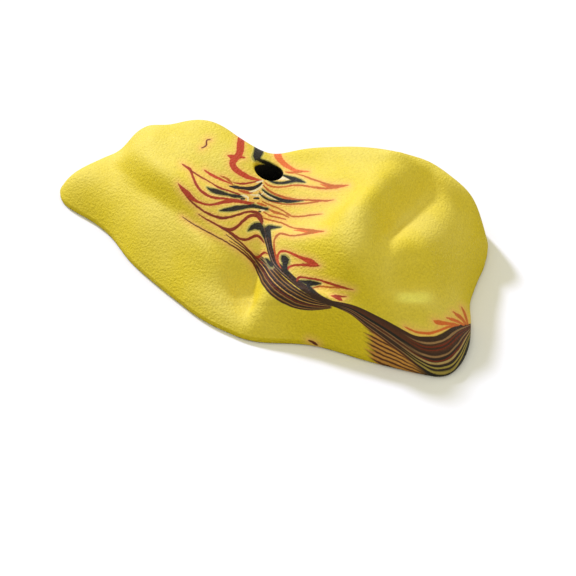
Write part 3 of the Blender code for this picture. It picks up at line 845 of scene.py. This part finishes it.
def draw_marbling(mesh):
    """Work out every field of the marbling at the mesh points and store them."""
    points = mesh_points(mesh)
    normals = np.zeros(points.size)
    mesh.vertex_normals.foreach_get("vector", normals)
    places, toward = picture_place(points)
    facing = np.sum(normals.reshape(-1, 3) * toward, axis=1)
    near = np.all(places > MARBLING_CORNER, axis=1) & (facing > LEAST_FACING)
    spots = places[near]

    def spread(values, elsewhere):
        whole = np.full((len(points), *values.shape[1:]), elsewhere, float)
        whole[near] = values
        return whole

    for name, layers in (("line", LINE_LAYERS), ("ink", INK_LAYERS)):
        nearest = np.full(len(spots), FAR_AWAY)
        for index, layer in enumerate(layers):
            fields, gap = layer_fields(spots, layer)
            nearest = np.minimum(nearest, gap)
            add_attribute(mesh, f"{name}_{index}", spread(fields, FAR_AWAY))
        add_attribute(mesh, "near_" + name, spread(nearest, FAR_AWAY))
    for name, pairs in (("band", BAND), ("stream", STREAM), ("brush", BRUSH), ("spine", SPINE)):
        u, v = ribbon_fields(spots, pairs)
        add_attribute(mesh, name + "_u", spread(u, -1.0))
        add_attribute(mesh, name + "_v", spread(v, -1.0))
    add_attribute(mesh, "shown", shown_share(points, facing))
    # Painted highlight on the ledge, where the key light does not reach
    from_ledge = (places - LEDGE_PLACE) / LEDGE_SIZE
    add_attribute(mesh, "ledge", np.exp(-np.sum(from_ledge ** 4, axis=1)) * (facing > 0.0))


def linear(red, green, blue):
    """Turn a colour of 0 to 255 as seen on a screen into the linear numbers of a shader."""
    channels = []
    for value in (red, green, blue):
        share = value / 255.0
        low = share / 12.92
        high = ((share + 0.055) / 1.055) ** 2.4
        channels.append(low if share <= 0.04045 else high)
    return (*channels, 1.0)


class Nodes:
    """Short calls that add shader nodes to one material and join them up."""

    def __init__(self, name):
        self.material = bpy.data.materials.new(name)
        self.material.use_nodes = True
        self.tree = self.material.node_tree
        self.shader = self.tree.nodes["Principled BSDF"]

    def feed(self, node, inputs):
        """Feed the inputs of a node, each from another socket or with a plain value."""
        for key, value in inputs.items():
            if isinstance(value, bpy.types.NodeSocket):
                self.tree.links.new(value, node.inputs[key])
            elif value is not None:
                node.inputs[key].default_value = value

    def add(self, kind, inputs=None, **settings):
        """Add a node of one kind with its settings, and feed its inputs."""
        node = self.tree.nodes.new("ShaderNode" + kind)
        for name, value in settings.items():
            setattr(node, name, value)
        self.feed(node, inputs or {})
        return node

    def attribute(self, name):
        return self.add("Attribute", attribute_name=name).outputs["Fac"]

    def attribute_parts(self, name):
        vector = self.add("Attribute", attribute_name=name).outputs["Vector"]
        return self.add("SeparateXYZ", {0: vector}).outputs

    def object_place(self):
        return self.add("TexCoord").outputs["Object"]

    def math(self, operation, *values):
        return self.add("Math", dict(enumerate(values)), operation=operation).outputs[0]

    def plus(self, first, second):
        return self.math("ADD", first, second)

    def times(self, product, *others):
        for other in others:
            product = self.math("MULTIPLY", product, other)
        return product

    def between(self, value, low, high, kind="SMOOTHSTEP"):
        """Rise from 0 to 1 as the value goes from low to high; falls where low is above high."""
        turned = float(low > high)
        inputs = {
            "Value": value, "From Min": min(low, high), "From Max": max(low, high),
            "To Min": turned, "To Max": 1.0 - turned,
        }
        return self.add("MapRange", inputs, interpolation_type=kind).outputs["Result"]

    def mix(self, amount, first, second, blend="MIX"):
        inputs = {0: amount, 6: first, 7: second}
        return self.add("Mix", inputs, data_type="RGBA", blend_type=blend).outputs[2]

    def noise(self, place, scale, detail=2.0, roughness=0.5):
        inputs = {"Vector": place, "Scale": scale, "Detail": detail, "Roughness": roughness}
        return self.add("TexNoise", inputs).outputs["Fac"]

    def waver(self, place, scale, detail=2.0):
        """Noise that swings about zero."""
        return self.math("SUBTRACT", self.noise(place, scale, detail), 0.5)

    def vector(self, x, y, z):
        return self.add("CombineXYZ", {0: x, 1: y, 2: z}).outputs[0]

    def vector_math(self, operation, first, second=None):
        return self.add("VectorMath", {0: first, 1: second}, operation=operation).outputs

    def ramp(self, value, stops):
        """Colour for a value from a list of stops: place, colour and how solid it is."""
        node = self.add("ValToRGB", {"Fac": value})
        elements = node.color_ramp.elements
        while len(elements) < len(stops):
            elements.new(0.5)
        for element, stop in zip(elements, sorted(stops, key=lambda stop: stop[0])):
            element.position = stop[0]
            solid = stop[2] if len(stop) > 2 else 1.0
            element.color = (*stop[1][:3], solid)
        return node.outputs["Color"], node.outputs["Alpha"]

    def bump(self, height, distance, strength, normal=None):
        inputs = {"Height": height, "Distance": distance, "Strength": strength, "Normal": normal}
        return self.add("Bump", inputs).outputs["Normal"]


YELLOW = linear(233, 208, 28)
# Colour of the painted sheen on upward-facing skin
SHEEN_YELLOW = linear(241, 221, 104)
# Colour of the painted highlight on the ledge
LEDGE_HIGHLIGHT_YELLOW = linear(255, 244, 110)
WARM_YELLOW = linear(249, 206, 96)
PEACH = linear(250, 196, 104)
PALE = linear(250, 226, 165)
CREAM = linear(250, 234, 186)
RED = linear(200, 70, 34)
RED_BROWN = linear(130, 44, 15)
ORANGE = linear(235, 115, 50)
ORANGE_BROWN = linear(190, 105, 35)
BROWN = linear(92, 50, 26)
UMBER = linear(62, 40, 25)
BLACK = linear(32, 27, 19)
INK_BLACK = linear(36, 32, 20)
OLIVE = linear(120, 130, 60)
KHAKI = linear(178, 158, 76)
DRY_KHAKI = linear(190, 160, 100)
TAN = linear(160, 122, 82)
GREY_BROWN = linear(150, 120, 90)
STREAM_TAN = linear(176, 130, 66)
BRUSH_ORANGE = linear(212, 150, 68)
BRUSH_BROWN = linear(85, 45, 20)
# Colour of the painted shade inside the bolt's deep hole
BORE_SHADE_BLACK = linear(22, 20, 17)
SOOT = linear(48, 34, 24)
BRIGHT_ZINC = linear(196, 198, 200)
DULL_ZINC = linear(150, 148, 140)

# Colours of the strokes by tone
TONES = (
    (0.0, BLACK), (0.15, SOOT), (0.2, UMBER), (0.4, RED_BROWN), (0.6, RED),
    (0.8, ORANGE_BROWN), (1.0, ORANGE), (1.2, CREAM),
)
LAST_TONE = TONES[-1][0]

# Stripes across the ribbons, from one edge at 0 to the other at 1
STREAM_STRIPES = (
    (0.0, BROWN, 0.0), (0.02, BROWN), (0.1, BLACK), (0.13, STREAM_TAN), (0.17, UMBER),
    (0.24, BLACK), (0.28, STREAM_TAN), (0.31, BROWN), (0.38, BLACK), (0.43, UMBER),
    (0.46, PEACH), (0.49, BROWN), (0.56, BLACK), (0.6, RED_BROWN), (0.64, BLACK),
    (0.68, STREAM_TAN), (0.71, BROWN), (0.78, BLACK), (0.82, UMBER), (0.86, STREAM_TAN),
    (0.89, BROWN), (0.96, BLACK), (1.0, KHAKI, 0.0),
)
BAND_LEFT_STRIPES = (
    (0.0, UMBER, 0.0), (0.02, UMBER), (0.35, BROWN), (0.4, BLACK), (0.5, BLACK), (0.54, TAN),
    (0.57, BROWN), (0.64, BROWN), (0.68, TAN), (0.72, UMBER), (0.84, UMBER), (0.88, TAN),
    (0.91, BROWN), (0.97, BROWN), (1.0, BRUSH_ORANGE, 0.0),
)
BAND_RIGHT_STRIPES = (
    (0.0, UMBER, 0.0), (0.02, UMBER), (0.14, UMBER), (0.16, TAN), (0.19, TAN), (0.205, UMBER),
    (0.24, BROWN), (0.265, RED_BROWN), (0.29, UMBER), (0.325, UMBER), (0.345, RED_BROWN),
    (0.365, BROWN), (0.42, UMBER), (0.46, UMBER), (0.485, TAN), (0.51, TAN), (0.53, UMBER),
    (0.57, BLACK), (0.6, RED_BROWN), (0.62, UMBER), (0.64, DRY_KHAKI), (0.68, DRY_KHAKI),
    (0.7, UMBER), (0.75, BLACK), (0.77, KHAKI), (0.79, KHAKI), (0.805, UMBER), (0.83, BLACK),
    (0.86, KHAKI), (0.89, KHAKI), (0.91, BLACK), (1.0, BLACK),
)
SPINE_STRIPES = (
    (0.0, UMBER, 0.0), (0.08, UMBER), (0.2, BLACK), (0.3, GREY_BROWN), (0.37, UMBER),
    (0.52, BLACK), (0.62, BROWN), (0.72, BLACK), (0.92, UMBER), (1.0, UMBER, 0.0),
)
BRUSH_LINES = (0.09, 0.225, 0.36, 0.495, 0.63, 0.765, 0.9)
BRUSH_CORE = 0.015
BRUSH_FADE = 0.045

# Where the ends of the ribbons fade, from 0 at one end to 1 at the other
STREAM_START = (0.02, 0.22)
STREAM_END = (1.0, 0.98)
BRUSH_START = (-0.02, 0.04)
BRUSH_RAGGED_START = (-0.17, 0.0)
BRUSH_END = (1.05, 1.0)
BAND_START = (-0.01, 0.01)
BAND_LOWER_EDGE = (1.15, 1.1)
BAND_CHANGE = (0.36, 0.56)
SPINE_START = (0.0, 0.03)
SPINE_END = (1.0, 0.9)
SPINE_CHANGE = (0.5, 0.62)

# Where tinges round the strokes and the strokes themselves fade, in units of the picture
WARM_REACH = (9.0, 2.0)
GLOW_REACH = (3.4, 0.4)
HALO_REACH = (3.0, 1.2)
OLIVE_REACH = (1.5, 0.3)
STROKE_EDGE = (0.5, -0.35)
STROKE_REACH = (2.4, 1.7)

# Noise, in cells per metre
BROAD = 22.0
WAVES = 90.0
WOBBLE = 130.0
DULL_SPOTS = 340.0
RIPPLE = 420.0
PITS = 620.0
SPECKLE = 680.0
GRAIN = 1100.0
TURNING = 2600.0


def plain_colour(nodes, place):
    """Yellow, with a painted sheen that pales it where the skin faces up, and a painted highlight that
    pales it most on the ledge.
    """
    up = nodes.add("SeparateXYZ", {0: nodes.add("NewGeometry").outputs["Normal"]}).outputs["Z"]
    # Painted sheen: paler yellow, in patches, where the skin faces up
    patches = nodes.between(nodes.noise(place, BROAD, 3.0), 0.1, 0.7)
    level = nodes.times(nodes.between(up, 0.25, 0.95), patches, 0.7)
    colour = nodes.mix(level, YELLOW, SHEEN_YELLOW)
    # Painted highlight: the ledge is paled towards a bright yellow
    return nodes.mix(nodes.attribute("ledge"), colour, LEDGE_HIGHLIGHT_YELLOW)


def lay_glow(nodes, colour, near_line, sway, shown):
    """A wide warm tinge round the strokes and a narrow peach one close to them."""
    warm = nodes.times(nodes.between(near_line, *WARM_REACH), shown, 0.45)
    colour = nodes.mix(warm, colour, WARM_YELLOW)
    glow = nodes.times(nodes.between(nodes.plus(near_line, sway), *GLOW_REACH), shown, 0.65)
    return nodes.mix(glow, colour, PEACH)


def lay_stream(nodes, colour, wobble, shown):
    """The striped stream that comes down from the left and runs into the band."""
    along = nodes.attribute("stream_u")
    across = nodes.plus(nodes.attribute("stream_v"), nodes.times(wobble, 0.06))
    striped, solid = nodes.ramp(across, STREAM_STRIPES)
    ends = nodes.times(nodes.between(along, *STREAM_START), nodes.between(along, *STREAM_END))
    return nodes.mix(nodes.times(solid, ends, shown), colour, striped)


def lay_brush(nodes, colour, wobble, shown):
    """The ragged brush of thin lines on orange under the band."""
    along = nodes.attribute("brush_u")
    across = nodes.attribute("brush_v")
    stripes = [(0.0, BRUSH_ORANGE, 0.0), (1.0, BRUSH_ORANGE, 0.0)]
    for line in BRUSH_LINES:
        stripes += [(line - BRUSH_FADE, BRUSH_ORANGE), (line - BRUSH_CORE, BRUSH_BROWN)]
        stripes += [(line + BRUSH_CORE, BRUSH_BROWN), (line + BRUSH_FADE, BRUSH_ORANGE)]
    striped, solid = nodes.ramp(nodes.plus(across, nodes.times(wobble, 0.08)), stripes)
    ragged = nodes.noise(nodes.vector(nodes.times(across, 9.0), 0.0, 0.0), 1.0, 1.0)
    torn = nodes.math("SUBTRACT", along, nodes.times(ragged, 0.4))
    ends = nodes.times(
        nodes.between(torn, *BRUSH_RAGGED_START),
        nodes.between(along, *BRUSH_END),
        nodes.between(along, *BRUSH_START),
    )
    return nodes.mix(nodes.times(solid, ends, shown), colour, striped)


def lay_band(nodes, colour, shown):
    """The broad dark band: few stripes at its left end, many round the corner."""
    along = nodes.attribute("band_u")
    across = nodes.attribute("band_v")
    waver = nodes.waver(nodes.vector(nodes.times(along, 5.0), nodes.times(across, 6.0), 0.0), 1.0)
    bent = nodes.plus(across, nodes.times(waver, 0.09))
    left_part, left_solid = nodes.ramp(bent, BAND_LEFT_STRIPES)
    right_part, right_solid = nodes.ramp(bent, BAND_RIGHT_STRIPES)
    later = nodes.between(along, *BAND_CHANGE)
    earlier = nodes.math("SUBTRACT", 1.0, later)
    striped = nodes.mix(later, left_part, right_part)
    solid = nodes.plus(nodes.times(left_solid, earlier), nodes.times(right_solid, later))
    ends = nodes.times(nodes.between(along, *BAND_START), nodes.between(across, *BAND_LOWER_EDGE))
    return nodes.mix(nodes.times(solid, ends, shown), colour, striped)


def lay_ink_edges(nodes, colour, near_ink, sway, shown):
    """A faint pale halo and an olive edge round the black strokes."""
    swayed = nodes.plus(near_ink, nodes.times(sway, 0.6))
    halo = nodes.times(nodes.between(swayed, *HALO_REACH), shown, 0.25)
    colour = nodes.mix(halo, colour, PALE)
    edge = nodes.times(nodes.between(swayed, *OLIVE_REACH), shown, 0.7)
    return nodes.mix(edge, colour, OLIVE)


def lay_spine(nodes, colour, sway, shown):
    """The dark spine that the leaves grow from, plain towards its far end."""
    along = nodes.attribute("spine_u")
    across = nodes.plus(nodes.attribute("spine_v"), nodes.times(sway, 0.07))
    striped, solid = nodes.ramp(across, SPINE_STRIPES)
    striped = nodes.mix(nodes.between(along, *SPINE_CHANGE), striped, UMBER)
    ends = nodes.times(nodes.between(along, *SPINE_START), nodes.between(along, *SPINE_END))
    return nodes.mix(nodes.times(solid, ends, shown), colour, striped)


def stroke_masks(nodes, prefix, layers, near, sway, shown):
    """Mask and tone of each layer of strokes."""
    found = []
    reach = nodes.times(nodes.between(near, *STROKE_REACH), shown)
    for index in range(len(layers)):
        side, half, tone = nodes.attribute_parts(f"{prefix}_{index}")
        offset = nodes.math("ABSOLUTE", nodes.plus(side, sway))
        inside = nodes.between(nodes.math("SUBTRACT", offset, half), *STROKE_EDGE)
        found.append((nodes.times(inside, reach), tone))
    return found


def marbled_colour(nodes, place):
    """Build the colour of the casting from its marbling fields, each over the ones before."""
    wobble = nodes.waver(place, WOBBLE)
    ripple = nodes.waver(place, RIPPLE, 1.0)
    sway = nodes.plus(nodes.times(wobble, 1.3), nodes.times(ripple, 0.9))
    shown = nodes.attribute("shown")
    near_line = nodes.attribute("near_line")
    near_ink = nodes.attribute("near_ink")
    colour = plain_colour(nodes, place)
    colour = lay_glow(nodes, colour, near_line, sway, shown)
    colour = lay_stream(nodes, colour, wobble, shown)
    colour = lay_brush(nodes, colour, wobble, shown)
    colour = lay_band(nodes, colour, shown)
    colour = lay_ink_edges(nodes, colour, near_ink, sway, shown)
    colour = lay_spine(nodes, colour, sway, shown)
    shades = [(tone / LAST_TONE, shade) for tone, shade in TONES]
    for mask, tone in stroke_masks(nodes, "line", LINE_LAYERS, near_line, sway, shown):
        shade, _ = nodes.ramp(nodes.math("DIVIDE", tone, LAST_TONE), shades)
        colour = nodes.mix(mask, colour, shade)
    for mask, _ in stroke_masks(nodes, "ink", INK_LAYERS, near_ink, sway, shown):
        colour = nodes.mix(mask, colour, INK_BLACK)
    speckle = nodes.between(nodes.noise(place, SPECKLE, 2.0, 0.6), 0.25, 0.75, "LINEAR")
    speckle = nodes.math("MULTIPLY_ADD", speckle, 0.2, 0.9)
    return nodes.mix(1.0, colour, nodes.vector(speckle, speckle, speckle), "MULTIPLY")


def make_casting_material():
    """Marbled polyurethane with a fine sandy skin."""
    nodes = Nodes("marbled_polyurethane")
    place = nodes.object_place()
    colour = marbled_colour(nodes, place)
    pits = nodes.noise(place, PITS)
    rough = nodes.between(pits, 0.2, 0.8, "LINEAR")
    normal = nodes.bump(nodes.noise(place, WAVES), 0.0006, 0.35)
    normal = nodes.bump(pits, 0.001, 0.85, normal)
    normal = nodes.bump(nodes.noise(place, GRAIN, 3.0, 0.6), 0.0004, 0.7, normal)
    nodes.feed(nodes.shader, {
        # Painted shade: the inside of the bolt's deep hole is coloured near black
        "Base Color": nodes.mix(nodes.attribute("bore_shade"), colour, BORE_SHADE_BLACK),
        "Roughness": nodes.math("MULTIPLY_ADD", rough, 0.16, 0.6),
        "IOR": 1.47,
        "Specular IOR Level": 0.32,
        "Normal": normal,
    })
    return nodes.material


def make_steel_material(name, centre):
    """Zinc-plated steel, turned: fine rings round the washer's own axis and a few dull spots."""
    nodes = Nodes(name)
    place = nodes.object_place()
    offset = nodes.vector_math("SUBTRACT", place, centre)[0]
    level = nodes.vector_math("MULTIPLY", offset, (1.0, 1.0, 0.0))[0]
    radius = nodes.vector_math("LENGTH", level)["Value"]
    rings = nodes.noise(nodes.vector(radius, 0.0, 0.0), TURNING, 3.0)
    dull = nodes.noise(place, DULL_SPOTS, 3.0)
    nodes.feed(nodes.shader, {
        "Base Color": nodes.mix(nodes.between(dull, 0.35, 0.75), BRIGHT_ZINC, DULL_ZINC),
        "Metallic": 1.0,
        "Roughness": nodes.math("MULTIPLY_ADD", dull, 0.3, 0.2),
        "Normal": nodes.bump(rings, 0.00008, 0.6),
    })
    return nodes.material


def paint_bore_shade(mesh):
    """Mark the points inside the bolt's counterbore, where painted shade makes the deep hole near
    black.
    """
    points = mesh_points(mesh)
    plan = plan_place(points)
    height = points[:, 2] / MM
    bore_radius = BOLT.counterbore_diameter / 2.0
    share = np.clip(plan @ FAR_WALL_WAY / bore_radius, 0.0, 1.0)
    start = BORE_SHADE_DEPTH + FAR_WALL_BARE * share ** 2
    inside = np.clip((shown_height(*plan.T) - height - start) / BORE_SHADE_RUN, 0.0, 1.0)
    inside *= np.hypot(*plan.T) < bore_radius + 1.0
    inside *= height > BOLT.seat_height + BOLT.washer_thickness
    add_attribute(mesh, "bore_shade", inside)


def make_body():
    """Build the fine casting with its ribs, posts, holes and marbling."""
    casting = make_casting()
    for index in range(RIB_COUNT):
        join_shape(casting, make_rib(FIRST_RIB_ANGLE + index * 360.0 / RIB_COUNT), "UNION")
    for bore in SET_SCREWS:
        join_shape(casting, make_post(bore), "UNION")
    for bore in SET_SCREWS:
        join_shape(casting, make_bore_cutter(bore), "DIFFERENCE")
    mesh = casting.data
    mesh.name = "marbled_casting"
    mesh.shade_smooth()
    mesh.set_sharp_from_angle(angle=SHARP_ANGLE)
    draw_marbling(mesh)
    paint_bore_shade(mesh)
    mesh.materials.clear()
    mesh.materials.append(make_casting_material())
    return casting


def finish_washers():
    """Give the CAD washers their steel."""
    for bore in (BOLT, *SET_SCREWS):
        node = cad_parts[bore.name]
        centre = ((bore.x - MIDDLE[0]) * MM, (bore.y - MIDDLE[1]) * MM, 0.0)
        steel = make_steel_material("zinc_plated_steel_" + bore.name, centre)
        node.data.materials.clear()
        node.data.materials.append(steel)


def make_floor():
    """A plain pale floor that the camera sees as white, and that lights the hold less."""
    corners = [(x * FLOOR_REACH, y * FLOOR_REACH, 0.0) for x, y in ((-1, -1), (1, -1), (1, 1), (-1, 1))]
    data = bpy.data.meshes.new("floor")
    data.from_pydata(corners, [], [(0, 1, 2, 3)])
    floor = bpy.data.objects.new("floor", data)
    floor.location = (0.0, 0.0, -FLOOR_DROP)
    bpy.context.scene.collection.objects.link(floor)
    nodes = Nodes("floor_paper")
    rays = nodes.add("LightPath").outputs
    seen = nodes.math("MAXIMUM", rays["Is Camera Ray"], rays["Is Glossy Ray"])
    nodes.feed(nodes.shader, {
        "Base Color": nodes.mix(seen, FLOOR_BOUNCE, FLOOR_WHITE),
        "Roughness": 0.9,
        "Specular IOR Level": 0.0,
    })
    data.materials.append(nodes.material)


def make_lights():
    """A far key light from the upper left and a bright even sky, as in the photograph."""
    world = bpy.data.worlds.new("studio")
    bpy.context.scene.world = world
    world.use_nodes = True
    background = world.node_tree.nodes["Background"]
    background.inputs["Color"].default_value = SKY_COLOUR
    background.inputs["Strength"].default_value = SKY_STRENGTH
    data = bpy.data.lights.new("key_light", "AREA")
    data.shape = "DISK"
    data.size = KEY_SIZE
    data.energy = KEY_POWER
    data.color = KEY_COLOUR
    lamp = bpy.data.objects.new("key_light", data)
    bpy.context.scene.collection.objects.link(lamp)
    lamp.location = KEY_WAY.normalized() * KEY_DISTANCE
    lamp.rotation_euler = (KEY_TARGET - lamp.location).to_track_quat("-Z", "Y").to_euler()


def make_camera():
    """The camera at the photograph's viewing angle."""
    data = bpy.data.cameras.new("camera")
    data.lens = LENS
    data.sensor_width = SENSOR
    camera = bpy.data.objects.new("camera", data)
    bpy.context.scene.collection.objects.link(camera)
    turn = Matrix((CAMERA_RIGHT, CAMERA_UP, CAMERA_BACK)).transposed()
    camera.matrix_world = Matrix.Translation(CAMERA_PLACE) @ turn.to_4x4()
    bpy.context.scene.camera = camera


bpy.context.scene.view_settings.view_transform = "Standard"
make_camera()
make_lights()
make_floor()
body = make_body()
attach(body, "hold")
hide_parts("hold_body")
finish_washers()
